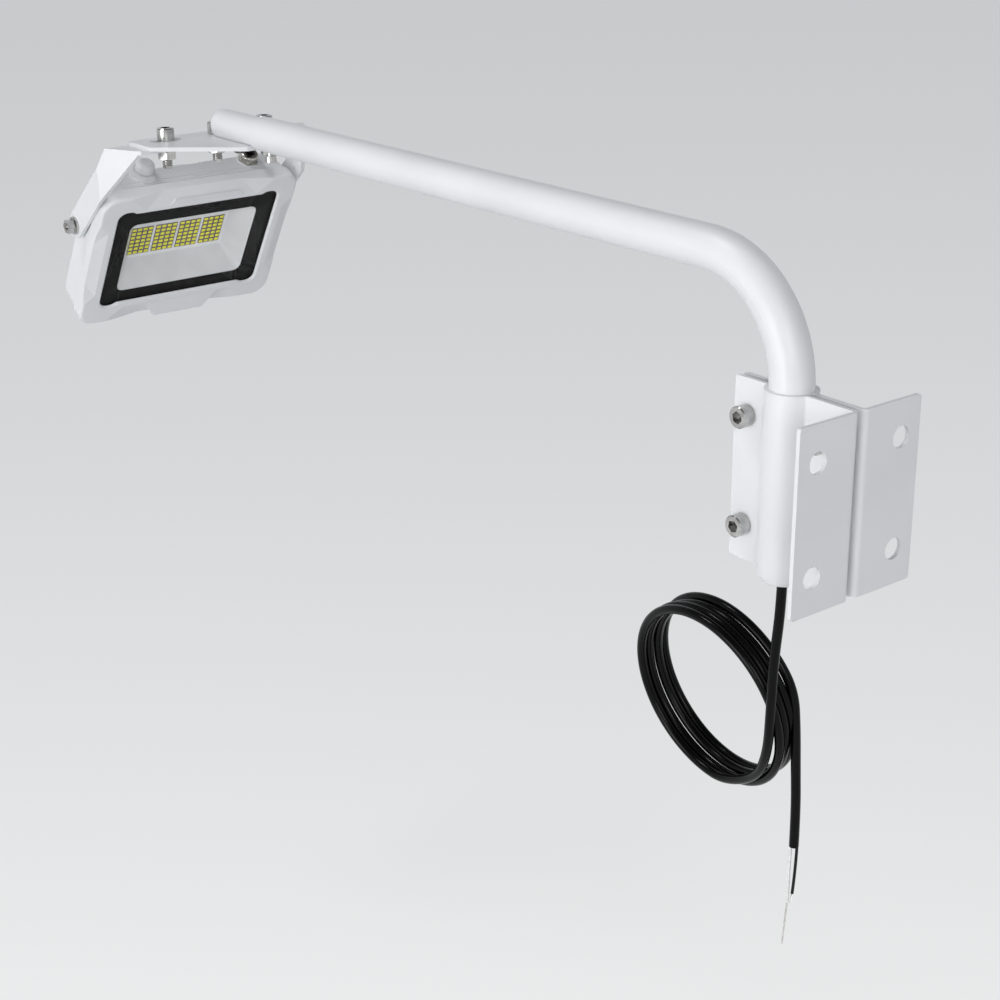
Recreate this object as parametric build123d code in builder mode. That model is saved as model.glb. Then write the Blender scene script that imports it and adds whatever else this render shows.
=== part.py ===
from build123d import *
from math import cos, pi, radians, sin, sqrt, tan
import os

os.makedirs("parts", exist_ok=True)

# LED flood light on a long arm, clamped to a wall bracket of two pressed halves.
# Millimetres. Y = 0 is the wall, the arm reaches out along -Y, Z is up and X runs along the wall.

# Arm: a bent round tube
TUBE_R = 12.7
TUBE_WALL = 1.2
TUBE_AXIS_Y = -50.5
TUBE_FOOT_Z = -56.0
BEND_R = 67.0
ARM_Z = 120.4
ARM_END_Y = -589.0

# Wall clamp: two pressed halves around the foot of the arm
SHEET = 2.5
CLAMP_GAP = 3.5
CLAMP_H = 108.0
CLAMP_FIT = 0.05
WALL_PLATE_W = 45.5
FLANGE_REACH = 38.5
WALL_HOLE_R = 6.5
WALL_HOLE_X = 32.5
WALL_HOLE_Z = 32.5
WALL_CORNER_R = 2.0
CLAMP_SCREW_Y = 28.5
CLAMP_SCREW_Z = 32.5

# Threaded parts
M8_R = 4.0
M8_HEAD_R = 6.5
M8_HEAD_H = 8.0
M8_SOCKET_R = 3.45
M8_SOCKET_DEPTH = 4.5
M8_NUT_FLATS = 13.0
M8_NUT_H = 6.5
M8_HOLE_R = 4.25
M8_WASHER_R = 8.0
M8_WASHER_H = 1.6
CLAMP_SCREW_L = 20.0
PLATE_BOLT_L = 22.0
PLATE_BOLT_HEAD_H = 9.4
M5_R = 2.5
M5_HEAD_R = 4.25
M5_HEAD_H = 5.0
M5_SOCKET_R = 2.3

# Foot bush and the lock screw under the arm's end
BUSH_FLANGE_H = 2.5
BUSH_PLUG_H = 9.0
LOCK_SCREW_BACK = 10.0
LOCK_SCREW_STANDOFF = 2.2

# Spigot that turns in the arm's end
SPIGOT_FIT = 0.05
SPIGOT_WALL = 1.5
SPIGOT_IN_ARM = 42.0
SPIGOT_END_Y = -648.0
SPIGOT_END_ROUND = 4.0
LEAD_HOLE_R = 4.0
LEAD_HOLE_Y = -630.0

# Head plate, welded to the spigot
PLATE_T = 3.0
PLATE_TOP_Z = 111.4
PLATE_HALF = 68.0
PLATE_BACK_Y = -671.5
PLATE_SIDE_Y = -638.0
PLATE_TIP_Y = -591.0
PLATE_TIP_HALF = 12.5
PLATE_CORNER_R = 2.0
SADDLE_HALF = 4.5
BOLT_ROW_Y = -657.5
BOLT_PITCH = 43.5
SLOT_LENGTH = 26.0

# Yoke, one folded strip
YOKE_T = 3.0
YOKE_GAP = 0.6
BAR_FRONT_Y = -642.5
BAR_BACK_Y = -671.5
BAR_END_FRONT_IN = 18.8
BAR_END_BACK_IN = 3.8
YOKE_ARM_W = 20.0
YOKE_LEAN = 40.3

# Lamp position: it turns about the side bolts
PIVOT_Y = -725.5
PIVOT_Z = 41.2
LAMP_TILT = 31.0
PIVOT_DEPTH = 27.5
PIVOT_RISE = 20.3
SIDE_BOLT_R = 3.0
SIDE_BOLT_FIT = 0.05
SIDE_BOLT_HEAD = 10.0
SIDE_BOLT_HEAD_H = 5.6
SIDE_FLANGE_R = 7.0
SIDE_FLANGE_H = 1.8
SIDE_BOLT_GRIP = 9.0
SIDE_BOSS_R = 7.2
SIDE_BOSS_GAP = 0.3
SIDE_BOSS_L = 14.0
SIDE_PLAY = 0.1

# Bezel
BEZEL_W = 176.4
BEZEL_H = 131.0
BEZEL_T = 12.0
BEZEL_R = 14.0
BEZEL_EDGE = 2.5
LIP_T = 2.0
RECESS_TOP_W = 14.0
RECESS_TOP_HALF = 50.0
RECESS_TOP_DEPTH = 5.0
RECESS_SIDE_W = 9.5
RECESS_SIDE_HALF = 33.0
RECESS_SIDE_DEPTH = 3.0
RECESS_FLARE = 1.15
TAB_SHIFT = 4.0
TAB_ROOT_HALF = 33.0
TAB_IN = 13.0
TOP_TAB_TIP_HALF = 28.5
TOP_TAB_REACH = -8.0
BOTTOM_TAB_TIP_HALF = 23.0
BOTTOM_TAB_REACH = 3.0
TAB_T = 7.0

# Window opening in the bezel, its corners stand out as small lobes
OPEN_IN_X = 16.2
OPEN_IN_Y = 18.5
OPEN_RISE = 1.0
OPEN_BEVEL = 1.4
LOBE_RISE = 2.2
LOBE_W = 17.0
LOBE_BLEND = 4.0
OPEN_R = 7.0

# Glass, gasket and printed border
GLASS_LAP = 3.5
GLASS_PLAY = 0.3
GASKET_T = 0.4
GLASS_T = 2.0
PRINT_T = 0.2
CLEAR_IN_X = 14.5
CLEAR_IN_Y = 12.0
CLEAR_R = 6.5
CLEAR_DROP = 1.2

# LED board and reflector
BOARD_IN_X = 2.0
BOARD_IN_Y = 3.0
BOARD_T = 1.6
CAVITY_DEPTH = 22.5
REFLECTOR_T = 1.2
REFLECTOR_FLOOR_W = 88.0
REFLECTOR_FLOOR_H = 36.0
CHIP_W = 3.8
CHIP_H = 2.7
CHIP_T = 0.7
CHIP_PITCH_X = 4.9
CHIP_PITCH_Y = 4.0
CHIP_GROUP_PITCH = 21.8
CHIP_SHIFT = -2.0
CHIP_GROUPS = 4
CHIP_COLUMNS = 4
CHIP_ROWS = 7
DRIVER_W = 16.0
DRIVER_H = 4.0
DRIVER_T = 4.5
DRIVER_PITCH = 30.0
DRIVER_COUNT = 3

# Housing, one casting with a finned back
BODY_STEP_X = 1.2
BODY_STEP_Y = 2.0
BODY_DRAFT = 1.5
BODY_BACK_DEPTH = 35.0
BODY_R = 13.0
BODY_BACK_ROUND = 2.0
RIB_DEPTHS = (14.0, 16.5, 19.0)
RIB_W = 1.4
RIB_CUT = 0.5
FIN_FLOOR_DEPTH = 25.0
FIN_POCKET_IN = 16.0
FIN_POCKET_TOP_IN = 25.5
FIN_POCKET_BOTTOM_IN = 17.5
FIN_POCKET_R = 5.0
FIN_T = 2.4
FIN_PITCH = 12.0
FIN_COUNT = 11
FIN_DROP = 1.5
RIB_LENGTH = 130.0
BOARD_PLAY = 3.5
CAVITY_R = 6.0
BACK_NOTCH_W = 13.0
BACK_NOTCH = 2.0
BACK_NOTCH_X = 6.0
CASE_SCREW_IN_X = 9.0
CASE_SCREW_IN_Y = 9.5
CASE_SCREW_R = 1.75
CASE_SCREW_HEAD_R = 3.3
CASE_SCREW_HEAD_H = 2.4
CASE_SCREW_SEAT = 26.0
CASE_SCREW_TIP = 5.0
CASE_SCREW_CLEAR = 0.3

# Cable gland and vent on the top of the housing
GLAND_IN = 33.0
VENT_IN = 46.0
TOP_FITTING_DEPTH = 27.5
GLAND_FLATS = 15.0
GLAND_HEX_H = 2.2
GLAND_NUT_R = 7.8
GLAND_NUT_H = 4.8
GLAND_THREAD_R = 5.5
GLAND_THREAD_L = 9.0
GLAND_PAD_R = 9.0
GLAND_NUT_ROUND = 2.2
GLAND_SEAL_R = 4.2
GLAND_SEAL_SINK = 0.8
LEAD_CLEAR = 0.5
LEAD_DRILL = 23.0
LEAD_TURN_RISE = 4.0
TOP_PAD_CLEAR = 0.3
VENT_FLATS = 18.0
VENT_HEX_H = 4.0
VENT_NECK_R = 5.6
VENT_NECK_H = 0.9
VENT_CAP_R = 7.4
VENT_CAP_H = 7.6
VENT_CAP_ROUND = 3.6
VENT_THREAD_R = 5.0
VENT_THREAD_L = 8.0
VENT_PAD_R = 10.8

# Cord: outer diameter, cores, and the coil that it hangs in
CORD_R = 3.0
LEAD_R = 2.5
LEAD_RISE = 16.0
CABLE_END_Y = -616.0
CORE_R = 0.95
COIL_CENTRE = (-17.0, -112.0, -157.0)
COIL_NORMAL = (-0.976, -0.04, 0.214)
COIL_R = 58.0
COIL_HALF_WIDTH = 13.5
COIL_HALF_DEPTH = 5.0

# Worked out from the sizes above
tube_in_r = TUBE_R - TUBE_WALL
clamp_bore_r = TUBE_R + CLAMP_FIT
clamp_out_r = clamp_bore_r + SHEET
gap_half = CLAMP_GAP / 2
flange_end_y = TUBE_AXIS_Y - FLANGE_REACH
spigot_r = tube_in_r - SPIGOT_FIT
spigot_in_r = spigot_r - SPIGOT_WALL
plate_bottom_z = PLATE_TOP_Z - PLATE_T
bar_bottom_z = plate_bottom_z - YOKE_T
yoke_in_x = BEZEL_W / 2 + YOKE_GAP
yoke_out_x = yoke_in_x + YOKE_T
bar_end_front_x = yoke_out_x - BAR_END_FRONT_IN
bar_end_back_x = yoke_out_x - BAR_END_BACK_IN
open_half_w = BEZEL_W / 2 - OPEN_IN_X
open_half_h = BEZEL_H / 2 - OPEN_IN_Y
clear_w = 2 * (open_half_w - CLEAR_IN_X)
clear_h = 2 * (open_half_h - CLEAR_IN_Y)
board_w = 2 * (open_half_w - BOARD_IN_X)
board_h = 2 * (open_half_h - BOARD_IN_Y)
glass_front = LIP_T + GASKET_T
glass_back = glass_front + GLASS_T
print_back = glass_back + PRINT_T
board_front = CAVITY_DEPTH - BOARD_T
body_front_w = BEZEL_W - 2 * BODY_STEP_X
body_front_h = BEZEL_H - 2 * BODY_STEP_Y
body_back_w = body_front_w - 2 * BODY_DRAFT
body_back_h = body_front_h - 2 * BODY_DRAFT
draft_slope = BODY_DRAFT / (BODY_BACK_DEPTH - BEZEL_T)
body_top = body_front_h / 2 - draft_slope * (TOP_FITTING_DEPTH - BEZEL_T)
top_pad_h = TOP_PAD_CLEAR + draft_slope * VENT_PAD_R
gland_x = GLAND_IN - body_front_w / 2
vent_x = body_front_w / 2 - VENT_IN
fin_pocket_half = body_front_w / 2 - FIN_POCKET_IN
fin_pocket_top = body_front_h / 2 - FIN_POCKET_TOP_IN
fin_pocket_bottom = FIN_POCKET_BOTTOM_IN - body_front_h / 2
case_screw_x = body_front_w / 2 - CASE_SCREW_IN_X
case_screw_y = body_front_h / 2 - CASE_SCREW_IN_Y

# The lamp's own axes: out of its face, and up along its face
face_out = Vector(0, cos(radians(LAMP_TILT)), -sin(radians(LAMP_TILT)))
face_up = Vector(0, sin(radians(LAMP_TILT)), cos(radians(LAMP_TILT)))
face_centre = Vector(0, PIVOT_Y, PIVOT_Z) + face_out * PIVOT_DEPTH - face_up * PIVOT_RISE
lamp_face = Plane(origin=face_centre, x_dir=(-1, 0, 0), z_dir=face_out)


def at_depth(depth):
    """The plane parallel to the lamp's face, this far behind it."""
    return lamp_face.offset(-depth)


def on_top(x, height=0.0):
    """A plane on the housing's top at world x, this far above the surface, facing up the lamp."""
    place = face_centre - face_out * TOP_FITTING_DEPTH + face_up * (body_top + height)
    return Plane(origin=place + Vector(x, 0, 0), x_dir=(-1, 0, 0), z_dir=face_up)


def save(piece, name):
    """Label a finished piece and write it as one STEP file."""
    piece.part.label = name
    export_step(piece.part, "parts/" + name + ".step")


def cap_screw(length, shank_r, head_r, head_h, socket_r, socket_depth):
    """A socket head screw: the head stands on Z = 0 and the shank goes down."""
    with BuildPart() as screw:
        with BuildSketch():
            Circle(head_r)
        extrude(amount=head_h)
        chamfer(faces().sort_by(Axis.Z)[-1].edges(), head_h / 16)
        with BuildSketch():
            Circle(shank_r)
        extrude(amount=-length)
        chamfer(faces().sort_by(Axis.Z)[0].edges(), shank_r / 8)
        with BuildSketch(Plane.XY.offset(head_h)):
            RegularPolygon(socket_r, 6)
        extrude(amount=-socket_depth, mode=Mode.SUBTRACT)
    return screw.part


def hex_nut(flats, height, bore_r):
    """A hexagon nut from Z = 0 up, its corners turned down at both ends."""
    corner_r = flats / sqrt(3)
    with BuildPart() as nut:
        with BuildSketch():
            Circle(corner_r)
        extrude(amount=height)
        chamfer(edges(), corner_r - flats / 2)
        with BuildSketch():
            RegularPolygon(flats / 2, 6, major_radius=False)
        extrude(amount=height, mode=Mode.INTERSECT)
        with BuildSketch():
            Circle(bore_r)
        extrude(amount=height, mode=Mode.SUBTRACT)
    return nut.part


def corner_radii(points):
    """Each corner of a cord's route gets the largest arc that its two runs leave room for."""
    radii = []
    for before, here, after in zip(points[:-2], points[1:-1], points[2:]):
        run_in = Vector(*here) - Vector(*before)
        run_out = Vector(*after) - Vector(*here)
        turn = radians(run_in.get_angle(run_out))
        radii.append(0.45 * min(run_in.length, run_out.length) / tan(turn / 2))
    return radii


def cord_tube(name, points, radius):
    """A plain tube of straight runs and tangent arcs through a cord's route."""
    radii = corner_radii(points)
    with BuildPart() as tube:
        with BuildLine() as route:
            FilletPolyline(*points, radius=radii)
        with BuildSketch(Plane(origin=points[0], z_dir=Vector(*points[1]) - Vector(*points[0]))):
            Circle(radius)
        sweep()
    length = route.wires()[0].length
    print(name, "radii", [round(r, 1) for r in radii], "length", round(length, 1),
          "volume ratio", round(tube.part.volume / (pi * radius ** 2 * length), 4))
    return tube.part


# Arm tube: foot, bend and straight, with the tapped hole of the lock screw under its end
lock_screw_y = ARM_END_Y + LOCK_SCREW_BACK
with BuildPart() as arm_tube:
    with BuildLine():
        FilletPolyline((0, TUBE_AXIS_Y, TUBE_FOOT_Z), (0, TUBE_AXIS_Y, ARM_Z), (0, ARM_END_Y, ARM_Z),
                       radius=BEND_R)
    with BuildSketch(Plane((0, TUBE_AXIS_Y, TUBE_FOOT_Z))):
        Circle(TUBE_R)
        Circle(tube_in_r, mode=Mode.SUBTRACT)
    sweep()
    with BuildSketch(Plane((0, lock_screw_y, ARM_Z))):
        Circle(M5_R)
    extrude(amount=-TUBE_R, mode=Mode.SUBTRACT)
save(arm_tube, "arm_tube")

# Bush in the foot of the arm, which the cord comes out of
with BuildPart() as foot_bush:
    with BuildSketch(Plane((0, TUBE_AXIS_Y, TUBE_FOOT_Z))):
        Circle(TUBE_R)
    extrude(amount=-BUSH_FLANGE_H)
    fillet(faces().sort_by(Axis.Z)[0].edges(), BUSH_FLANGE_H / 3)
    with BuildSketch(Plane((0, TUBE_AXIS_Y, TUBE_FOOT_Z))):
        Circle(tube_in_r)
    extrude(amount=BUSH_PLUG_H)
    with BuildSketch(Plane((0, TUBE_AXIS_Y, TUBE_FOOT_Z - BUSH_FLANGE_H))):
        Circle(CORD_R)
    extrude(amount=BUSH_FLANGE_H + BUSH_PLUG_H, mode=Mode.SUBTRACT)
save(foot_bush, "foot_bush")

# Lock screw: its tip stops just short of the spigot
lock_screw_tip = ARM_Z - spigot_r - 2 * SPIGOT_FIT
lock_screw_seat = ARM_Z - TUBE_R - LOCK_SCREW_STANDOFF
lock_screw_part = cap_screw(lock_screw_tip - lock_screw_seat, M5_R, M5_HEAD_R, M5_HEAD_H, M5_SOCKET_R,
                            M5_HEAD_H / 2)
with BuildPart() as lock_screw:
    with Locations(Plane((0, lock_screw_y, lock_screw_seat), z_dir=(0, 0, -1)).location):
        add(lock_screw_part)
save(lock_screw, "lock_screw")

# Clamp half on the +X side: wall plate, web, half-round channel and outer flange, one pressed sheet
web_out = gap_half + SHEET
channel_out_y = sqrt(clamp_out_r ** 2 - web_out ** 2)
with BuildPart() as clamp_half_near:
    with BuildSketch(Plane.XY.offset(-CLAMP_H / 2)):
        with Locations((gap_half, flange_end_y)):
            Rectangle(SHEET, -flange_end_y, align=(Align.MIN, Align.MIN))
        with Locations((gap_half, 0)):
            Rectangle(WALL_PLATE_W, SHEET, align=(Align.MIN, Align.MAX))
        with Locations((0, TUBE_AXIS_Y)):
            Circle(clamp_out_r)
            Circle(clamp_bore_r, mode=Mode.SUBTRACT)
        with Locations((gap_half, TUBE_AXIS_Y)):
            Rectangle(2 * clamp_out_r, 2 * clamp_out_r, align=(Align.MAX, Align.CENTER), mode=Mode.SUBTRACT)
        fillet(vertices().sort_by_distance((gap_half, 0))[0], 1.5 * SHEET)
        fillet(vertices().sort_by_distance((web_out, -SHEET))[0], SHEET / 2)
        for side in (-1, 1):
            fillet(vertices().sort_by_distance((web_out, TUBE_AXIS_Y + side * channel_out_y))[0], SHEET)
    extrude(amount=CLAMP_H)
    fillet(edges().filter_by(Axis.Y).group_by(Axis.X)[-1], WALL_CORNER_R)
    fillet(edges().filter_by(Axis.X).group_by(Axis.Y)[0], WALL_CORNER_R)
    with BuildSketch(Plane.XZ):
        with Locations((WALL_HOLE_X, -WALL_HOLE_Z), (WALL_HOLE_X, WALL_HOLE_Z)):
            Circle(WALL_HOLE_R)
    extrude(amount=SHEET, mode=Mode.SUBTRACT)
    with BuildSketch(Plane.YZ):
        with Locations((TUBE_AXIS_Y, 0)):
            with GridLocations(2 * CLAMP_SCREW_Y, 2 * CLAMP_SCREW_Z, 2, 2):
                Circle(M8_HOLE_R)
    extrude(amount=2 * web_out, mode=Mode.SUBTRACT)
save(clamp_half_near, "clamp_half_near")

with BuildPart() as clamp_half_far:
    mirror(clamp_half_near.part, about=Plane.YZ)
save(clamp_half_far, "clamp_half_far")

# Four socket head screws pull the halves together, with a nut behind each
clamp_screw_part = cap_screw(CLAMP_SCREW_L, M8_R, M8_HEAD_R, M8_HEAD_H, M8_SOCKET_R, M8_SOCKET_DEPTH)
clamp_nut_part = hex_nut(M8_NUT_FLATS, M8_NUT_H, M8_R)
clamp_screw_places = []
clamp_nut_places = []
for y in (TUBE_AXIS_Y - CLAMP_SCREW_Y, TUBE_AXIS_Y + CLAMP_SCREW_Y):
    for z in (-CLAMP_SCREW_Z, CLAMP_SCREW_Z):
        clamp_screw_places.append(Plane((web_out, y, z), x_dir=(0, 1, 0), z_dir=(1, 0, 0)).location)
        clamp_nut_places.append(Plane((-web_out, y, z), x_dir=(0, 1, 0), z_dir=(-1, 0, 0)).location)
with BuildPart() as clamp_screws:
    with Locations(*clamp_screw_places):
        add(clamp_screw_part)
save(clamp_screws, "clamp_screws")
with BuildPart() as clamp_nuts:
    with Locations(*clamp_nut_places):
        add(clamp_nut_part)
save(clamp_nuts, "clamp_nuts")

# Spigot: a tube with a closed, rounded end that turns in the end of the arm
spigot_length = ARM_END_Y + SPIGOT_IN_ARM - SPIGOT_END_Y
with BuildPart() as spigot:
    with BuildSketch(Plane((0, SPIGOT_END_Y, ARM_Z), x_dir=(0, 1, 0), z_dir=(1, 0, 0))):
        Rectangle(spigot_length, spigot_r, align=(Align.MIN, Align.MIN))
        fillet(vertices().sort_by_distance((0, spigot_r))[0], SPIGOT_END_ROUND)
        with Locations((SPIGOT_WALL, 0)):
            Rectangle(spigot_length, spigot_in_r, align=(Align.MIN, Align.MIN), mode=Mode.SUBTRACT)
    revolve(axis=Axis((0, SPIGOT_END_Y, ARM_Z), (0, 1, 0)))
    with BuildSketch(Plane((0, LEAD_HOLE_Y, ARM_Z))):
        Circle(LEAD_HOLE_R)
    extrude(amount=-2 * spigot_r, mode=Mode.SUBTRACT)
save(spigot, "spigot")

# Head plate: it tapers to the arm, has a saddle for the spigot and slots for the outer bolts
with BuildPart() as head_plate:
    with BuildSketch(Plane.XY.offset(plate_bottom_z)):
        Polygon((-PLATE_HALF, PLATE_BACK_Y), (PLATE_HALF, PLATE_BACK_Y), (PLATE_HALF, PLATE_SIDE_Y),
                (PLATE_TIP_HALF, PLATE_TIP_Y), (-PLATE_TIP_HALF, PLATE_TIP_Y), (-PLATE_HALF, PLATE_SIDE_Y),
                align=None)
        fillet(vertices(), PLATE_CORNER_R)
        with Locations((0, SPIGOT_END_Y)):
            Rectangle(2 * SADDLE_HALF, 2 * (PLATE_TIP_Y - SPIGOT_END_Y), align=(Align.CENTER, Align.MIN),
                      mode=Mode.SUBTRACT)
        with Locations((0, BOLT_ROW_Y)):
            Circle(M8_HOLE_R, mode=Mode.SUBTRACT)
        with Locations((-BOLT_PITCH, BOLT_ROW_Y), (BOLT_PITCH, BOLT_ROW_Y)):
            SlotOverall(SLOT_LENGTH, 2 * M8_HOLE_R, mode=Mode.SUBTRACT)
    extrude(amount=PLATE_T)
    with BuildSketch(Plane((0, SPIGOT_END_Y, ARM_Z), z_dir=(0, 1, 0))):
        Circle(spigot_r)
    extrude(amount=2 * (PLATE_TIP_Y - SPIGOT_END_Y), mode=Mode.SUBTRACT)
save(head_plate, "head_plate")

# Yoke: a flat bar under the plate, folded down along slanting lines and straightened into two arms
fold_run = Vector(bar_end_back_x - bar_end_front_x, BAR_BACK_Y - BAR_FRONT_Y)
fold_slope = fold_run.Y / fold_run.X
fold_in = Vector(fold_run.Y, -fold_run.X).normalized() * YOKE_T
kink_out_y = BAR_FRONT_Y + (yoke_out_x - bar_end_front_x) * fold_slope
fold_inner = Vector(bar_end_front_x, BAR_FRONT_Y) + fold_in
kink_in_y = fold_inner.Y + (yoke_in_x - fold_inner.X) * fold_slope
arm_low_y = PIVOT_Y - YOKE_ARM_W / 2
arm_low_z = PIVOT_Z - YOKE_ARM_W / 2
arm_lean = Vector(cos(radians(YOKE_LEAN)), sin(radians(YOKE_LEAN)))
arm_side = Vector(-arm_lean.Y, arm_lean.X) * (YOKE_ARM_W / 2)
pivot = Vector(PIVOT_Y, PIVOT_Z)
edge_front = pivot - arm_side
edge_back = pivot + arm_side
kink_front = edge_front + arm_lean * ((kink_out_y - edge_front.X) / arm_lean.X)
kink_back = edge_back + arm_lean * ((kink_out_y - edge_back.X) / arm_lean.X)
with BuildPart() as yoke:
    with BuildSketch(Plane.XY.offset(arm_low_z)) as walls:
        Polygon((bar_end_front_x, BAR_FRONT_Y), (yoke_out_x, kink_out_y), (yoke_out_x, arm_low_y),
                (yoke_in_x, arm_low_y), (yoke_in_x, kink_in_y), (fold_inner.X, fold_inner.Y), align=None)
        mirror(about=Plane.YZ)
    extrude(amount=plate_bottom_z - arm_low_z)
    with BuildSketch(Plane.YZ):
        with BuildLine():
            front_edge = Polyline((edge_front.X, edge_front.Y), (kink_front.X, kink_front.Y),
                                  (BAR_FRONT_Y, plate_bottom_z))
            top_edge = Line(front_edge @ 1, (BAR_BACK_Y, plate_bottom_z))
            back_edge = Polyline(top_edge @ 1, (kink_back.X, kink_back.Y), (edge_back.X, edge_back.Y))
            ThreePointArc(back_edge @ 1, tuple(pivot - arm_lean * (YOKE_ARM_W / 2))[:2], front_edge @ 0)
        make_face()
    extrude(amount=2 * yoke_out_x, both=True, mode=Mode.INTERSECT)
    with BuildSketch(Plane.XY.offset(bar_bottom_z)):
        Polygon((bar_end_front_x, BAR_FRONT_Y), (bar_end_back_x, BAR_BACK_Y),
                (-bar_end_back_x, BAR_BACK_Y), (-bar_end_front_x, BAR_FRONT_Y), align=None)
    extrude(amount=YOKE_T)
    with BuildSketch(Plane.XY.offset(bar_bottom_z)):
        with Locations((-BOLT_PITCH, BOLT_ROW_Y), (0, BOLT_ROW_Y), (BOLT_PITCH, BOLT_ROW_Y)):
            Circle(M8_HOLE_R)
    extrude(amount=YOKE_T, mode=Mode.SUBTRACT)
    with BuildSketch(Plane.YZ):
        with Locations((PIVOT_Y, PIVOT_Z)):
            Circle(SIDE_BOLT_R + SIDE_BOLT_FIT)
    extrude(amount=2 * yoke_out_x, both=True, mode=Mode.SUBTRACT)
save(yoke, "yoke")

# Three bolts through the plate and the yoke's bar, each with a washer and a nut below
plate_bolt_part = cap_screw(PLATE_BOLT_L, M8_R, M8_HEAD_R, PLATE_BOLT_HEAD_H, M8_SOCKET_R, M8_SOCKET_DEPTH)
bolt_row = [(-BOLT_PITCH, BOLT_ROW_Y), (0, BOLT_ROW_Y), (BOLT_PITCH, BOLT_ROW_Y)]
with BuildPart() as plate_bolts:
    with Locations(*[(x, y, PLATE_TOP_Z) for x, y in bolt_row]):
        add(plate_bolt_part)
save(plate_bolts, "plate_bolts")
with BuildPart() as plate_washers:
    with BuildSketch(Plane.XY.offset(bar_bottom_z)):
        with Locations(*bolt_row):
            Circle(M8_WASHER_R)
            Circle(M8_HOLE_R, mode=Mode.SUBTRACT)
    extrude(amount=-M8_WASHER_H)
save(plate_washers, "plate_washers")
with BuildPart() as plate_nuts:
    with Locations(*[(x, y, bar_bottom_z - M8_WASHER_H - M8_NUT_H) for x, y in bolt_row]):
        add(clamp_nut_part)
save(plate_nuts, "plate_nuts")


def body_size(depth):
    """Width and height of the drafted housing at this depth behind the lamp's face."""
    narrowing = 2 * draft_slope * (depth - BEZEL_T)
    return body_front_w - narrowing, body_front_h - narrowing


def window_outline(grow=0.0):
    """The bezel's opening, made larger all round by this much: its four corners are small lobes."""
    with BuildSketch() as outline:
        with Locations((0, OPEN_RISE)):
            Rectangle(2 * (open_half_w + grow) - LOBE_W, 2 * (open_half_h + grow))
        with Locations((open_half_w - LOBE_W / 2, OPEN_RISE), (LOBE_W / 2 - open_half_w, OPEN_RISE)):
            RectangleRounded(LOBE_W + 2 * grow, 2 * (open_half_h + LOBE_RISE + grow), OPEN_R + grow)
        meeting = vertices().filter_by(lambda v: abs(abs(v.Y - OPEN_RISE) - open_half_h - grow) < 0.01)
        fillet(meeting, LOBE_BLEND)
    return outline.sketch


opening = window_outline()
glass_outline = window_outline(GLASS_LAP)
pocket_outline = window_outline(GLASS_LAP + GLASS_PLAY)



def recess_outline(edge, width, half, sunk=0.0):
    """One recess seen from the front: it starts this far inside the bezel's edge and widens outwards.
    Sunk is the share of its slanting floor that the outline is taken at."""
    inner = edge - width * (1 - sunk)
    outer = edge + width
    inner_half = half - RECESS_FLARE * width * sunk
    outer_half = inner_half + RECESS_FLARE * (outer - inner)
    return [(inner, -inner_half), (inner, inner_half), (outer, outer_half), (outer, -outer_half)]


# Bezel: a cast frame with a slanting recess along each edge, and a plain raised pad at top and bottom
with BuildPart() as bezel:
    with BuildSketch(at_depth(BEZEL_T)):
        RectangleRounded(BEZEL_W, BEZEL_H, BEZEL_R)
    extrude(amount=BEZEL_T)
    fillet(faces().sort_by(Axis(face_centre, face_out))[-1].edges(), BEZEL_EDGE)
    for side in (-1, 1):
        with BuildSketch(lamp_face):
            start = recess_outline(BEZEL_H / 2, RECESS_TOP_W, RECESS_TOP_HALF)
            Polygon(*[(along, side * across) for across, along in start], align=None)
        with BuildSketch(at_depth(RECESS_TOP_DEPTH)):
            floor = recess_outline(BEZEL_H / 2, RECESS_TOP_W, RECESS_TOP_HALF, 1.0)
            Polygon(*[(along, side * across) for across, along in floor], align=None)
        loft(mode=Mode.SUBTRACT)
        with BuildSketch(lamp_face):
            start = recess_outline(BEZEL_W / 2, RECESS_SIDE_W, RECESS_SIDE_HALF)
            Polygon(*[(side * across, along) for across, along in start], align=None)
        with BuildSketch(at_depth(RECESS_SIDE_DEPTH)):
            floor = recess_outline(BEZEL_W / 2, RECESS_SIDE_W, RECESS_SIDE_HALF, 1.0)
            Polygon(*[(side * across, along) for across, along in floor], align=None)
        loft(mode=Mode.SUBTRACT)
    with BuildSketch(at_depth(TAB_T)):
        for side, reach, tip_half in ((1, TOP_TAB_REACH, TOP_TAB_TIP_HALF),
                                      (-1, BOTTOM_TAB_REACH, BOTTOM_TAB_TIP_HALF)):
            root = side * (BEZEL_H / 2 - TAB_IN)
            tip = side * (BEZEL_H / 2 + reach)
            Polygon((TAB_SHIFT - TAB_ROOT_HALF, root), (TAB_SHIFT + TAB_ROOT_HALF, root),
                    (TAB_SHIFT + tip_half, tip), (TAB_SHIFT - tip_half, tip), align=None)
    extrude(amount=TAB_T)
    with BuildSketch(lamp_face):
        add(opening)
    extrude(amount=-LIP_T, mode=Mode.SUBTRACT)
    front = [face for face in faces().group_by(Axis(face_centre, face_out))[-1] if face.inner_wires()]
    chamfer(front[0].inner_wires()[0].edges(), OPEN_BEVEL)
    with BuildSketch(at_depth(BEZEL_T)):
        add(pocket_outline)
    extrude(amount=BEZEL_T - LIP_T, mode=Mode.SUBTRACT)
    with BuildSketch(at_depth(BEZEL_T)):
        with GridLocations(2 * case_screw_x, 2 * case_screw_y, 2, 2):
            Circle(CASE_SCREW_R)
    extrude(amount=BEZEL_T - CASE_SCREW_TIP, mode=Mode.SUBTRACT)
save(bezel, "bezel")

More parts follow.
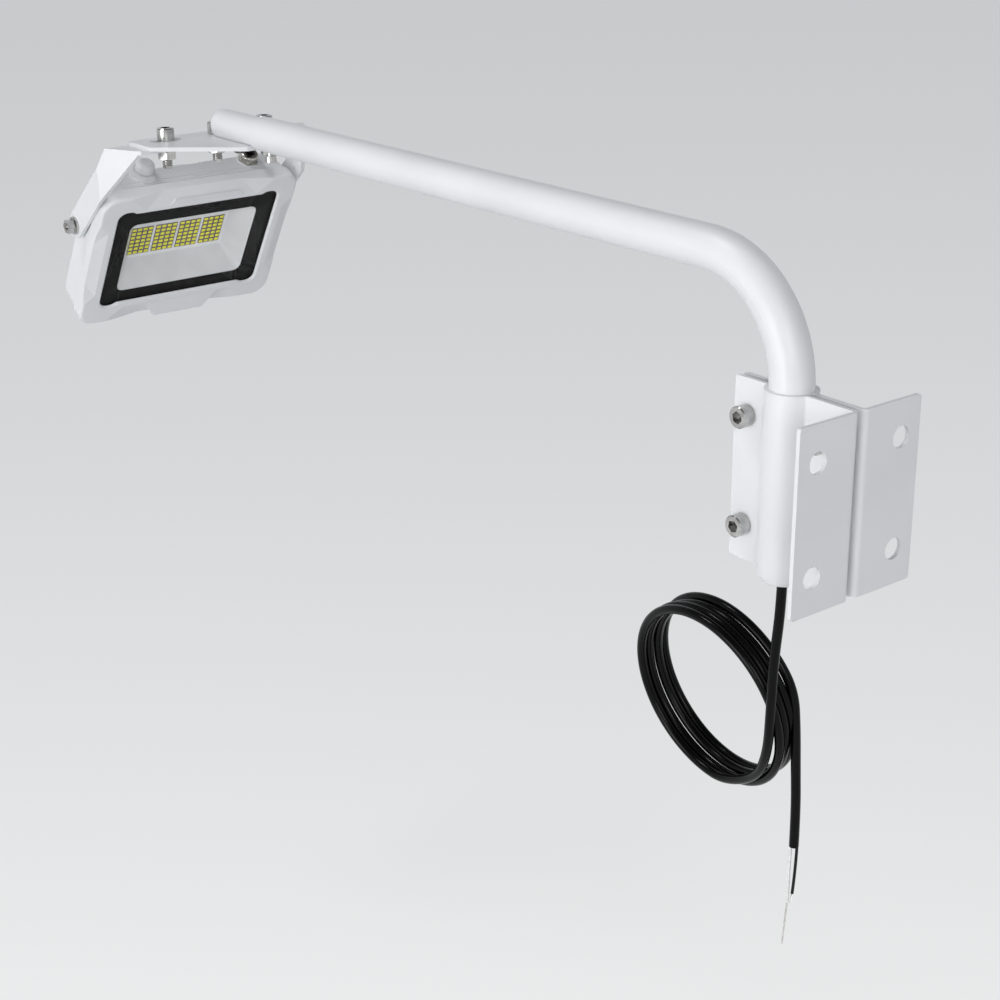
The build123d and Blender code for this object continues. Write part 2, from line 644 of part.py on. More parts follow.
# Gasket, glass and the printed border behind the glass
with BuildPart() as gasket:
    with BuildSketch(at_depth(glass_front)):
        add(glass_outline)
        add(opening, mode=Mode.SUBTRACT)
    extrude(amount=GASKET_T)
save(gasket, "gasket")
with BuildPart() as glass:
    with BuildSketch(at_depth(glass_back)):
        add(glass_outline)
    extrude(amount=GLASS_T)
save(glass, "glass")
with BuildPart() as printed_border:
    with BuildSketch(at_depth(print_back)):
        add(glass_outline)
        with Locations((0, -CLEAR_DROP)):
            RectangleRounded(clear_w, clear_h, CLEAR_R, mode=Mode.SUBTRACT)
    extrude(amount=PRINT_T)
save(printed_border, "printed_border")

# Reflector: a flange behind the glass, a skirt that stands on the housing, and four walls that
# slope down to the board
with BuildPart() as reflector:
    with BuildSketch(at_depth(print_back + REFLECTOR_T)):
        add(glass_outline)
    extrude(amount=REFLECTOR_T)
    with BuildSketch(at_depth(BEZEL_T)):
        add(glass_outline)
        add(window_outline(GLASS_LAP - REFLECTOR_T), mode=Mode.SUBTRACT)
    extrude(amount=BEZEL_T - print_back)
    with BuildSketch(at_depth(print_back + REFLECTOR_T)):
        with Locations((0, -CLEAR_DROP)):
            RectangleRounded(clear_w + 2 * REFLECTOR_T, clear_h + 2 * REFLECTOR_T, CLEAR_R)
    with BuildSketch(at_depth(board_front)):
        RectangleRounded(REFLECTOR_FLOOR_W + 2 * REFLECTOR_T, REFLECTOR_FLOOR_H + 2 * REFLECTOR_T, CLEAR_R / 2)
    loft()
    with BuildSketch(at_depth(print_back)):
        with Locations((0, -CLEAR_DROP)):
            RectangleRounded(clear_w, clear_h, CLEAR_R)
    with BuildSketch(at_depth(board_front)):
        RectangleRounded(REFLECTOR_FLOOR_W, REFLECTOR_FLOOR_H, CLEAR_R / 2)
    loft(mode=Mode.SUBTRACT)
save(reflector, "reflector")

# LED board with its chips in four groups, and the driver's blocks along its upper edge
with BuildPart() as led_board:
    with BuildSketch(at_depth(CAVITY_DEPTH)):
        RectangleRounded(board_w, board_h, BOARD_T)
    extrude(amount=BOARD_T)
save(led_board, "led_board")
with BuildPart() as led_chips:
    with BuildSketch(at_depth(board_front)):
        with Locations((CHIP_SHIFT, 0)):
            with GridLocations(CHIP_GROUP_PITCH, 0, CHIP_GROUPS, 1):
                with GridLocations(CHIP_PITCH_X, CHIP_PITCH_Y, CHIP_COLUMNS, CHIP_ROWS):
                    Rectangle(CHIP_W, CHIP_H)
    extrude(amount=CHIP_T)
save(led_chips, "led_chips")
with BuildPart() as driver_blocks:
    with BuildSketch(at_depth(board_front)):
        with Locations((0, board_h / 2 - DRIVER_H)):
            with GridLocations(DRIVER_PITCH, 0, DRIVER_COUNT, 1):
                Rectangle(DRIVER_W, DRIVER_H)
    extrude(amount=DRIVER_T)
save(driver_blocks, "driver_blocks")

# Housing: drafted casting, shallow cavity in front, deep fins behind, pads for what is screwed on
side_boss_x = yoke_in_x - SIDE_BOSS_GAP
with BuildPart() as housing:
    with BuildSketch(at_depth(BEZEL_T)):
        RectangleRounded(body_front_w, body_front_h, BODY_R)
    with BuildSketch(at_depth(BODY_BACK_DEPTH)):
        RectangleRounded(body_back_w, body_back_h, BODY_R)
    loft()
    fillet(faces().sort_by(Axis(face_centre, face_out))[0].edges(), BODY_BACK_ROUND)
    with BuildSketch(at_depth(BEZEL_T)):
        RectangleRounded(board_w + 2 * BOARD_PLAY, board_h + 2 * BOARD_PLAY, CAVITY_R)
    extrude(amount=BEZEL_T - CAVITY_DEPTH, mode=Mode.SUBTRACT)
    with BuildSketch(at_depth(FIN_FLOOR_DEPTH)):
        with Locations((0, (fin_pocket_top + fin_pocket_bottom) / 2)):
            RectangleRounded(2 * fin_pocket_half, fin_pocket_top - fin_pocket_bottom, FIN_POCKET_R)
    extrude(amount=FIN_FLOOR_DEPTH - BODY_BACK_DEPTH, mode=Mode.SUBTRACT)
    with BuildSketch(at_depth(FIN_FLOOR_DEPTH)):
        with Locations((0, (fin_pocket_top + fin_pocket_bottom) / 2)):
            with GridLocations(FIN_PITCH, 0, FIN_COUNT, 1):
                Rectangle(FIN_T, fin_pocket_top - fin_pocket_bottom)
    extrude(amount=FIN_FLOOR_DEPTH + FIN_DROP - BODY_BACK_DEPTH)
    for depth in RIB_DEPTHS:
        with BuildSketch(at_depth(depth)):
            with Locations((0, body_size(depth)[1] / 2)):
                Rectangle(RIB_LENGTH, 2 * RIB_CUT)
        extrude(amount=-RIB_W, mode=Mode.SUBTRACT)
    with BuildSketch(at_depth(BODY_BACK_DEPTH)):
        with Locations((BACK_NOTCH_X, body_back_h / 2)):
            Rectangle(BACK_NOTCH_W, 2 * BACK_NOTCH)
    extrude(amount=BACK_NOTCH, mode=Mode.SUBTRACT)
    for x, pad_r in ((gland_x, GLAND_PAD_R), (vent_x, VENT_PAD_R)):
        with BuildSketch(on_top(x, -top_pad_h)):
            Circle(pad_r)
        extrude(amount=2 * top_pad_h)
    with BuildSketch(on_top(gland_x, top_pad_h)):
        Circle(GLAND_THREAD_R)
    extrude(amount=-GLAND_THREAD_L, mode=Mode.SUBTRACT)
    with BuildSketch(on_top(gland_x, top_pad_h)):
        Circle(LEAD_R + LEAD_CLEAR)
    extrude(amount=-LEAD_DRILL, mode=Mode.SUBTRACT)
    with BuildSketch(at_depth(CAVITY_DEPTH)):
        with Locations((-gland_x, body_top + top_pad_h - LEAD_DRILL + LEAD_TURN_RISE)):
            Circle(LEAD_R)
    extrude(amount=CAVITY_DEPTH - TOP_FITTING_DEPTH, mode=Mode.SUBTRACT)
    with BuildSketch(on_top(vent_x, top_pad_h)):
        Circle(VENT_THREAD_R)
    extrude(amount=-VENT_THREAD_L, mode=Mode.SUBTRACT)
    for side in (-1, 1):
        with BuildSketch(Plane((side * side_boss_x, PIVOT_Y, PIVOT_Z), x_dir=(0, 1, 0), z_dir=(side, 0, 0))):
            Circle(SIDE_BOSS_R)
        extrude(amount=-SIDE_BOSS_L)
        with BuildSketch(Plane((side * side_boss_x, PIVOT_Y, PIVOT_Z), x_dir=(0, 1, 0), z_dir=(side, 0, 0))):
            Circle(SIDE_BOLT_R)
        extrude(amount=-SIDE_BOLT_GRIP, mode=Mode.SUBTRACT)
    with BuildSketch(at_depth(BEZEL_T)):
        with GridLocations(2 * case_screw_x, 2 * case_screw_y, 2, 2):
            Circle(CASE_SCREW_R)
    extrude(amount=BEZEL_T - BODY_BACK_DEPTH, mode=Mode.SUBTRACT)
    with BuildSketch(at_depth(CASE_SCREW_SEAT)):
        with GridLocations(2 * case_screw_x, 2 * case_screw_y, 2, 2):
            Circle(CASE_SCREW_HEAD_R + CASE_SCREW_CLEAR)
    extrude(amount=CASE_SCREW_SEAT - BODY_BACK_DEPTH - BODY_BACK_ROUND, mode=Mode.SUBTRACT)
save(housing, "housing")

# Screws that hold the bezel, put in from behind
case_screw_part = cap_screw(CASE_SCREW_SEAT - CASE_SCREW_TIP, CASE_SCREW_R, CASE_SCREW_HEAD_R,
                            CASE_SCREW_HEAD_H, CASE_SCREW_R, CASE_SCREW_HEAD_H / 2)
case_screw_places = []
for x in (-case_screw_x, case_screw_x):
    for y in (-case_screw_y, case_screw_y):
        seat = at_depth(CASE_SCREW_SEAT).from_local_coords((x, y, 0))
        case_screw_places.append(Plane(seat, x_dir=(1, 0, 0), z_dir=face_out * -1).location)
with BuildPart() as case_screws:
    with Locations(*case_screw_places):
        add(case_screw_part)
save(case_screws, "case_screws")

# Side bolts: flanged hexagon heads outside the yoke, threads in the housing's bosses
with BuildPart() as side_bolts:
    for side in (-1, 1):
        face = Plane((side * (yoke_out_x + SIDE_PLAY), PIVOT_Y, PIVOT_Z), x_dir=(0, 1, 0), z_dir=(side, 0, 0))
        with BuildSketch(face):
            Circle(SIDE_FLANGE_R)
        extrude(amount=SIDE_FLANGE_H)
        with BuildSketch(face.offset(SIDE_FLANGE_H)):
            RegularPolygon(SIDE_BOLT_HEAD / 2, 6, major_radius=False)
        extrude(amount=SIDE_BOLT_HEAD_H)
        with BuildSketch(face.offset(SIDE_FLANGE_H + SIDE_BOLT_HEAD_H)):
            Circle(SIDE_BOLT_R)
        extrude(amount=-SIDE_BOLT_HEAD_H / 3, mode=Mode.SUBTRACT)
        with BuildSketch(face):
            Circle(SIDE_BOLT_R)
        extrude(amount=side_boss_x - SIDE_BOLT_GRIP - yoke_out_x - SIDE_PLAY)
save(side_bolts, "side_bolts")

# Cable gland: hexagon body, domed nut and the rubber seal in its mouth
with BuildPart() as gland_body:
    with BuildSketch(on_top(gland_x, top_pad_h)):
        RegularPolygon(GLAND_FLATS / 2, 6, major_radius=False)
    extrude(amount=GLAND_HEX_H)
    with BuildSketch(on_top(gland_x, top_pad_h)):
        Circle(GLAND_THREAD_R)
    extrude(amount=-GLAND_THREAD_L)
    with BuildSketch(on_top(gland_x, top_pad_h - GLAND_THREAD_L)):
        Circle(LEAD_R)
    extrude(amount=GLAND_THREAD_L + GLAND_HEX_H, mode=Mode.SUBTRACT)
save(gland_body, "gland_body")
gland_mouth = top_pad_h + GLAND_HEX_H + GLAND_NUT_H
with BuildPart() as gland_nut:
    with BuildSketch(on_top(gland_x, top_pad_h + GLAND_HEX_H)):
        Circle(GLAND_NUT_R)
    extrude(amount=GLAND_NUT_H)
    fillet(faces().sort_by(Axis(face_centre, face_up))[-1].edges(), GLAND_NUT_ROUND)
    with BuildSketch(on_top(gland_x, top_pad_h + GLAND_HEX_H)):
        Circle(GLAND_SEAL_R)
    extrude(amount=GLAND_NUT_H, mode=Mode.SUBTRACT)
save(gland_nut, "gland_nut")
with BuildPart() as gland_seal:
    with BuildSketch(on_top(gland_x, top_pad_h + GLAND_HEX_H)):
        Circle(GLAND_SEAL_R)
        Circle(LEAD_R, mode=Mode.SUBTRACT)
    extrude(amount=GLAND_NUT_H - GLAND_SEAL_SINK)
save(gland_seal, "gland_seal")

# Pressure vent: hexagon flange screwed into the top, and its domed cap on a short neck
with BuildPart() as vent_body:
    with BuildSketch(on_top(vent_x, top_pad_h)):
        RegularPolygon(VENT_FLATS / 2, 6, major_radius=False)
    extrude(amount=VENT_HEX_H)
    with BuildSketch(on_top(vent_x, top_pad_h)):
        Circle(VENT_THREAD_R)
    extrude(amount=-VENT_THREAD_L)
save(vent_body, "vent_body")
with BuildPart() as vent_cap:
    with BuildSketch(on_top(vent_x, top_pad_h + VENT_HEX_H)):
        Circle(VENT_NECK_R)
    extrude(amount=VENT_NECK_H)
    with BuildSketch(on_top(vent_x, top_pad_h + VENT_HEX_H + VENT_NECK_H)):
        Circle(VENT_CAP_R)
    extrude(amount=VENT_CAP_H)
    fillet(faces().sort_by(Axis(face_centre, face_up))[-1].edges(), VENT_CAP_ROUND)
save(vent_cap, "vent_cap")

# Cable inside the arm, from the bush round the bend and into the spigot
with BuildPart() as arm_cable:
    with BuildLine():
        FilletPolyline((0, TUBE_AXIS_Y, TUBE_FOOT_Z - BUSH_FLANGE_H), (0, TUBE_AXIS_Y, ARM_Z),
                       (0, CABLE_END_Y, ARM_Z), radius=BEND_R)
    with BuildSketch(Plane((0, TUBE_AXIS_Y, TUBE_FOOT_Z - BUSH_FLANGE_H))):
        Circle(CORD_R)
    sweep()
save(arm_cable, "arm_cable")

# Lead from the cable's end, down through the spigot's hole and over to the gland
gland_exit = on_top(gland_x, gland_mouth - GLAND_SEAL_SINK).origin
lead_rise = gland_exit + face_up * LEAD_RISE
LEAD_ROUTE = [(0, CABLE_END_Y, ARM_Z), (0, -624.5, ARM_Z), (0, -630.5, 109), (-5, -638, 100),
              (-21, -655, 97), (-39, -676, 99.5), tuple(lead_rise), tuple(gland_exit)]
with BuildPart() as lamp_lead:
    add(cord_tube("lamp_lead", LEAD_ROUTE, LEAD_R))
save(lamp_lead, "lamp_lead")

# Cord below the arm: a hanging run, a coil, and a straight tail that ends in two bare cores
CORD_RUN = [(0, TUBE_AXIS_Y, TUBE_FOOT_Z - BUSH_FLANGE_H), (0, TUBE_AXIS_Y, -78), (0.6, -53.5, -112),
            (0.4, -54, -145), (-4, -59, -175), (-12, -74, -201)]
CORD_TAIL = [(-20.5, -52.5, -163), (-20.6, -51, -188), (-20, -48.6, -214), (-20, -48.6, -239.5)]
with BuildPart() as cord_run:
    add(cord_tube("cord_run", CORD_RUN, CORD_R))
save(cord_run, "cord_run")
coil_middle = Vector(*COIL_CENTRE)
coil_axis = Vector(*COIL_NORMAL).normalized()
coil_radial = Vector(0, 0, 1).cross(coil_axis).normalized()
with BuildPart() as cord_coil:
    with BuildSketch(Plane(coil_middle, x_dir=coil_radial, z_dir=coil_radial.cross(coil_axis))):
        with Locations((COIL_R, 0)):
            RectangleRounded(2 * COIL_HALF_DEPTH, 2 * COIL_HALF_WIDTH, CORD_R)
    revolve(axis=Axis(coil_middle, coil_axis))
save(cord_coil, "cord_coil")
with BuildPart() as cord_tail:
    add(cord_tube("cord_tail", CORD_TAIL, CORD_R))
save(cord_tail, "cord_tail")
BLACK_CORE = [(-19.4, -47.3, -239.5), (-19.4, -47.3, -258), (-19.2, -48.6, -279)]
WHITE_CORE = [(-20.6, -49.9, -239.5), (-20.6, -49.9, -271), (-21.4, -49.7, -309)]
with BuildPart() as black_core:
    add(cord_tube("black_core", BLACK_CORE, CORE_R))
save(black_core, "black_core")
with BuildPart() as white_core:
    add(cord_tube("white_core", WHITE_CORE, CORE_R))
save(white_core, "white_core")
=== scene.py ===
# %% [markdown]
# # A flood light on a long arm
# The real object is a small LED flood light that hangs at the end of a bent steel tube. Two
# pressed steel halves clamp the foot of the tube and are screwed to a wall. A black cord comes
# out of the foot, hangs in a coil and ends in two bare cores. The exact shapes are already there
# as CAD parts. This lesson dresses them: it gives every part its own finish, swaps the plain
# screws for threaded ones, draws the cord as a flexible line and sets up the camera, the floor
# and the lamps. All lengths are metres, Y = 0 is the wall and Z is up.

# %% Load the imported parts
import bpy
import bmesh
from math import cos, pi, radians, sin
from mathutils import Matrix, Vector


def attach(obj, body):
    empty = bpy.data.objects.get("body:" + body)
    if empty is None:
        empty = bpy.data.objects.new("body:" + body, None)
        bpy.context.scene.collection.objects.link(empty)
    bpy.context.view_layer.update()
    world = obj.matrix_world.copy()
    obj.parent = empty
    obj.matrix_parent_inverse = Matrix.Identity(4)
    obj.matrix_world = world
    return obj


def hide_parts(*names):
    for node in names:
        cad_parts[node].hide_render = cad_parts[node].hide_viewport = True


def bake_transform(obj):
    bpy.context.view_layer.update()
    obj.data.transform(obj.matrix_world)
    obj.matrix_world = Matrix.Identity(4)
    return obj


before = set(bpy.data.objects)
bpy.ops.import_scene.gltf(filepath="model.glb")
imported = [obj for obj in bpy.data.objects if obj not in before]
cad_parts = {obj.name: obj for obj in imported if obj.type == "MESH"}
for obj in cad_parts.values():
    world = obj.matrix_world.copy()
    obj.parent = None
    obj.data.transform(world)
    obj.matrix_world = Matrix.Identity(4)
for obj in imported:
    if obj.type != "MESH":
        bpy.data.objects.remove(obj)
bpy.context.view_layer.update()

# %% [markdown]
# ## The camera
# The picture was taken from the wall's side, a little above the light. A camera can be turned
# with Euler angles or with a target, but here it is built from three directions: where it looks,
# what is level in its picture, and what is up. Their cross product keeps them square to each
# other, and the small roll turns the last two about the first.

# %% Camera
PICTURE_SIZE = 1000
FOCAL_PIXELS = 1864.124
SENSOR = 36.0
CAMERA_PLACE = (0.721901, 0.609911, 0.362679)
yaw, pitch, roll = radians(38.194), radians(21.077), radians(-0.494)
look = Vector((-sin(yaw) * cos(pitch), -cos(yaw) * cos(pitch), -sin(pitch)))
level = Vector((-cos(yaw), sin(yaw), 0))
upright = level.cross(look)
side = level * cos(roll) + upright * sin(roll)
top = upright * cos(roll) - level * sin(roll)
camera_data = bpy.data.cameras.new("photo_camera")
camera_data.sensor_width = SENSOR
camera_data.lens = SENSOR * FOCAL_PIXELS / PICTURE_SIZE
camera_data.clip_start = 0.05
camera_data.clip_end = 20
camera = bpy.data.objects.new("photo_camera", camera_data)
camera_turn = Matrix((side, top, -look)).transposed().to_4x4()
camera.matrix_world = Matrix.Translation(CAMERA_PLACE) @ camera_turn
bpy.context.scene.collection.objects.link(camera)
bpy.context.scene.camera = camera
print("lens", round(camera_data.lens, 1), "mm, looking", tuple(round(v, 3) for v in look))

# %% [markdown]
# ## Small helpers
# Every new piece needs the same last steps: it becomes an object whose own place is the origin,
# it gets a finish, it rides on one of the moving bodies, and it may stand for a CAD part. A bmesh
# is turned into a mesh only once, at the end, and its doubles are merged and its normals set
# there.


# %% Helpers
def place_piece(name, mesh_or_curve, finish, body, slot, *stands_for):
    """Make an object of finished data, dress it and fasten it to a body."""
    piece = bpy.data.objects.new(name, mesh_or_curve)
    bpy.context.scene.collection.objects.link(piece)
    for material in finish if isinstance(finish, (list, tuple)) else [finish]:
        piece.data.materials.append(material)
    if body:
        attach(piece, body)
    if stands_for:
        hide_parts(*stands_for)
    return piece


def mesh_from(shape, name, smooth_angle=35):
    """Close a bmesh into a mesh: merge doubles, point the faces outwards, shade by angle."""
    bmesh.ops.remove_doubles(shape, verts=shape.verts, dist=1e-6)
    bmesh.ops.recalc_face_normals(shape, faces=shape.faces)
    for edge in shape.edges:
        edge.smooth = len(edge.link_faces) == 2 and edge.calc_face_angle(0) < radians(smooth_angle)
    for face in shape.faces:
        face.smooth = True
    mesh = bpy.data.meshes.new(name)
    shape.to_mesh(mesh)
    shape.free()
    print(name, len(mesh.polygons), "faces")
    return mesh


def nurbs_line(name, points, radius):
    """A round, flexible line through the air: one NURBS spline with these control points."""
    curve = bpy.data.curves.new(name, "CURVE")
    curve.dimensions = "3D"
    spline = curve.splines.new("NURBS")
    spline.points.add(len(points) - 1)
    for point, place in zip(spline.points, points):
        point.co = (*place, 1)
    spline.order_u = 3
    spline.use_endpoint_u = True
    curve.resolution_u = 12
    curve.render_resolution_u = 12
    curve.bevel_depth = radius
    curve.bevel_resolution = 6
    curve.use_fill_caps = True
    return curve


def line_points(curve):
    """Points along a curve's own line, read from the curve with its thickness taken away."""
    bare = curve.copy()
    bare.bevel_depth = 0
    holder = bpy.data.objects.new("line", bare)
    mesh = bpy.data.meshes.new_from_object(holder)
    points = [v.co.copy() for v in mesh.vertices]
    bpy.data.objects.remove(holder)
    bpy.data.meshes.remove(mesh)
    bpy.data.curves.remove(bare)
    return points


def line_length(points):
    """The length of a line of points."""
    return sum((after - before).length for before, after in zip(points[:-1], points[1:]))


# %% [markdown]
# ## Finishes
# A finish is a small tree of shader nodes. Each one here starts from the Principled shader. Noise
# textures that read Object coordinates give it what a flat colour lacks: the orange peel of
# powder coat, the grain of cast metal, the faint drawing marks in rubber. Numbers that are the
# same all over the surface are set on the shader itself.


# %% Finish helpers
def new_finish(name, colour, roughness, metallic=0.0):
    """A material with one Principled shader, ready for more nodes."""
    material = bpy.data.materials.new(name)
    material.use_nodes = True
    nodes = material.node_tree.nodes
    shader = nodes["Principled BSDF"]
    shader.inputs["Base Color"].default_value = (*colour, 1)
    shader.inputs["Roughness"].default_value = roughness
    shader.inputs["Metallic"].default_value = metallic
    return material, material.node_tree, shader


def noise(tree, scale, detail):
    """A noise texture on Object coordinates."""
    place = tree.nodes.new("ShaderNodeTexCoord")
    texture = tree.nodes.new("ShaderNodeTexNoise")
    texture.inputs["Scale"].default_value = scale
    texture.inputs["Detail"].default_value = detail
    tree.links.new(place.outputs["Object"], texture.inputs["Vector"])
    return texture.outputs["Fac"]


def ramp(tree, value, low, high, at=(0.35, 0.65)):
    """Turn a 0 to 1 value into a colour between low and high."""
    node = tree.nodes.new("ShaderNodeValToRGB")
    node.color_ramp.elements[0].position = at[0]
    node.color_ramp.elements[0].color = (*low, 1)
    node.color_ramp.elements[1].position = at[1]
    node.color_ramp.elements[1].color = (*high, 1)
    tree.links.new(value, node.inputs["Fac"])
    return node.outputs["Color"]


def spread(tree, value, low, high):
    """Stretch a 0 to 1 value to a range, for roughness."""
    node = tree.nodes.new("ShaderNodeMapRange")
    node.inputs["To Min"].default_value = low
    node.inputs["To Max"].default_value = high
    tree.links.new(value, node.inputs["Value"])
    return node.outputs["Result"]


def bump(tree, shader, value, height, strength):
    """Give the shader a bump of this height in metres."""
    node = tree.nodes.new("ShaderNodeBump")
    node.inputs["Strength"].default_value = strength
    node.inputs["Distance"].default_value = height
    tree.links.new(value, node.inputs["Height"])
    tree.links.new(node.outputs["Normal"], shader.inputs["Normal"])


def calculate(tree, operation, first, second):
    """A math node on two values, each of them a number or another node's output."""
    node = tree.nodes.new("ShaderNodeMath")
    node.operation = operation
    for socket, value in zip(node.inputs, (first, second)):
        if isinstance(value, float):
            socket.default_value = value
        else:
            tree.links.new(value, socket)
    return node.outputs[0]


def mix_shaders(tree, share, first, second):
    """The first shader where the share is 0 and the second where it is 1."""
    node = tree.nodes.new("ShaderNodeMixShader")
    for socket, value in zip(node.inputs, (share, first, second)):
        tree.links.new(value, socket)
    return node.outputs[0]


# %% [markdown]
# ### White powder coat and painted casting
# The tube, the clamp and the yoke are powder coated: a satin white with the slight orange peel of
# melted powder. The lamp's housing is die cast and painted, so its grain is finer and a little
# deeper. Real white paint is never pure white, and a few percent of slow colour change keeps
# large plain surfaces from looking computed.


# %% Paint
def painted(name, light, dark, roughness, peel_scale, peel_height):
    """Satin paint: slow colour change, uneven gloss, orange peel."""
    material, tree, shader = new_finish(name, light, roughness)
    slow = noise(tree, 14.0, 2.0)
    tree.links.new(ramp(tree, slow, dark, light), shader.inputs["Base Color"])
    tree.links.new(spread(tree, noise(tree, 160.0, 4.0), roughness - 0.05, roughness + 0.07),
                   shader.inputs["Roughness"])
    bump(tree, shader, noise(tree, peel_scale, 2.0), peel_height, 0.35)
    return material


WHITE = (0.80, 0.81, 0.825)
powder_coat = painted("powder_coat", WHITE, (0.765, 0.775, 0.79), 0.36, 700.0, 0.00006)
cast_paint = painted("cast_paint", WHITE, (0.76, 0.77, 0.785), 0.42, 1500.0, 0.00005)
print("paints", powder_coat.name, cast_paint.name)

# %% [markdown]
# ### Bare metal
# Screws, nuts and washers are turned stainless steel: a mirror-like metal with fine scratches
# that spread its highlights. The gland is nickel-plated brass, warmer and smoother. The cores'
# tips are tinned copper strands.


# %% Metals
def bare_metal(name, colour, dull, roughness, scale):
    """Metal with uneven gloss and hair-fine marks."""
    material, tree, shader = new_finish(name, colour, roughness, 1.0)
    tree.links.new(ramp(tree, noise(tree, scale / 3, 3.0), dull, colour),
                   shader.inputs["Base Color"])
    tree.links.new(spread(tree, noise(tree, scale, 5.0), roughness - 0.08, roughness + 0.12),
                   shader.inputs["Roughness"])
    bump(tree, shader, noise(tree, scale * 4, 2.0), 0.00002, 0.3)
    return material


stainless = bare_metal("stainless", (0.58, 0.575, 0.565), (0.40, 0.397, 0.39), 0.17, 500.0)
nickel = bare_metal("nickel", (0.55, 0.53, 0.49), (0.40, 0.385, 0.355), 0.16, 300.0)
tinned = bare_metal("tinned", (0.75, 0.74, 0.72), (0.60, 0.59, 0.57), 0.3, 900.0)
print("metals", stainless.name, nickel.name, tinned.name)

# %% [markdown]
# ### Rubber, plastic and print
# The cord's sheath is soft black plastic: not quite black, with a faint narrow highlight and
# small changes of gloss where it was handled. The same recipe, in other colours, serves the
# cores, the gasket, the bush and the vent.


# %% Rubber and plastic
def soft_plastic(name, colour, shade, roughness, grain_scale, grain_height=0.00002, gloss=0.5):
    """Rubber or plastic: two near shades, uneven gloss, a fine grain."""
    material, tree, shader = new_finish(name, colour, roughness)
    shader.inputs["Specular IOR Level"].default_value = gloss
    tree.links.new(ramp(tree, noise(tree, 60.0, 3.0), shade, colour), shader.inputs["Base Color"])
    tree.links.new(spread(tree, noise(tree, 240.0, 4.0), roughness - 0.06, roughness + 0.08),
                   shader.inputs["Roughness"])
    bump(tree, shader, noise(tree, grain_scale, 3.0), grain_height, 0.4)
    return material


def grey(value):
    """A colour with the same red, green and blue."""
    return (value, value, value)


black_sheath = soft_plastic("black_sheath", grey(0.0025), grey(0.0015), 0.2, 1600.0, 0.000005,
                            gloss=0.13)
black_insulation = soft_plastic("black_insulation", grey(0.005), grey(0.003), 0.3, 2200.0,
                                gloss=0.25)
white_insulation = soft_plastic("white_insulation", (0.82, 0.82, 0.81), (0.76, 0.76, 0.75),
                                0.42, 2200.0)
white_rubber = soft_plastic("white_rubber", (0.78, 0.785, 0.79), (0.72, 0.725, 0.73), 0.55, 900.0)
gasket_rubber = soft_plastic("gasket_rubber", grey(0.016), grey(0.010), 0.6, 1200.0)
vent_plastic = soft_plastic("vent_plastic", (0.80, 0.81, 0.82), (0.75, 0.76, 0.77), 0.34, 1400.0)
driver_black = soft_plastic("driver_black", grey(0.02), grey(0.012), 0.45, 1500.0)
border_print = soft_plastic("border_print", grey(0.003), grey(0.002), 0.5, 1800.0, gloss=0.15)
print("plastics", black_sheath.name, vent_plastic.name, border_print.name)

# %% [markdown]
# ### Behind the glass
# The reflector is smooth white satin plastic, but its white is darkened to a mid grey as painted
# shade for the inside of the lamp behind the glass. The board is white solder mask on aluminium,
# and each chip is yellow phosphor in a dark frame. Phosphor is a powder in clear resin, so its
# colour is uneven at a very small scale and its surface is glossy.


# %% Lamp interior
# The reflector's mid grey is its own white plastic with painted shade for the inside of the lamp.
reflector_white = soft_plastic("reflector_white", (0.56, 0.565, 0.575), (0.52, 0.525, 0.535),
                               0.3, 900.0)
board_white = soft_plastic("board_white", (0.66, 0.66, 0.67), (0.61, 0.61, 0.62), 0.35, 1300.0)
chip_frame = soft_plastic("chip_frame", (0.12, 0.11, 0.145), (0.08, 0.07, 0.10), 0.4, 2500.0)
phosphor, phosphor_tree, phosphor_shader = new_finish("phosphor", (0.68, 0.65, 0.006), 0.35)
powder = ramp(phosphor_tree, noise(phosphor_tree, 2600.0, 4.0), (0.58, 0.55, 0.002),
              (0.78, 0.75, 0.012))
phosphor_tree.links.new(powder, phosphor_shader.inputs["Base Color"])
bump(phosphor_tree, phosphor_shader, noise(phosphor_tree, 5000.0, 2.0), 0.00002, 0.3)
print("interior", reflector_white.name, phosphor.name)

# %% [markdown]
# ### Glass
# A glass shader bends light, and a lamp's light then hardly gets through it, so what lies behind
# goes dark. The usual cure is a mix: rays that come from a lamp see a clear sheet, and all others
# see real glass. Light Path tells them apart. A coated cover mirrors less than plain glass does,
# so its index is set a little low.

# %% Glass
window_glass, glass_tree, glass_shader = new_finish("window_glass", (0.985, 0.99, 0.99), 0.0)
glass_shader.inputs["Transmission Weight"].default_value = 1.0
glass_shader.inputs["IOR"].default_value = 1.15
smear = spread(glass_tree, noise(glass_tree, 30.0, 2.0), 0.0, 0.02)
glass_tree.links.new(smear, glass_shader.inputs["Roughness"])
clear_sheet = glass_tree.nodes.new("ShaderNodeBsdfTransparent")
ray_kind = glass_tree.nodes.new("ShaderNodeLightPath")
glass_mix = mix_shaders(glass_tree, ray_kind.outputs["Is Shadow Ray"], glass_shader.outputs[0],
                        clear_sheet.outputs[0])
glass_tree.links.new(glass_mix, glass_tree.nodes["Material Output"].inputs["Surface"])
print("glass lets lamps through by", ray_kind.bl_idname)

# %% [markdown]
# ## Dress the CAD parts
# A CAD part keeps its exact shape and only gets a finish: its material slots are emptied and the
# new material is put in. One table says which finish each part has on the real object.

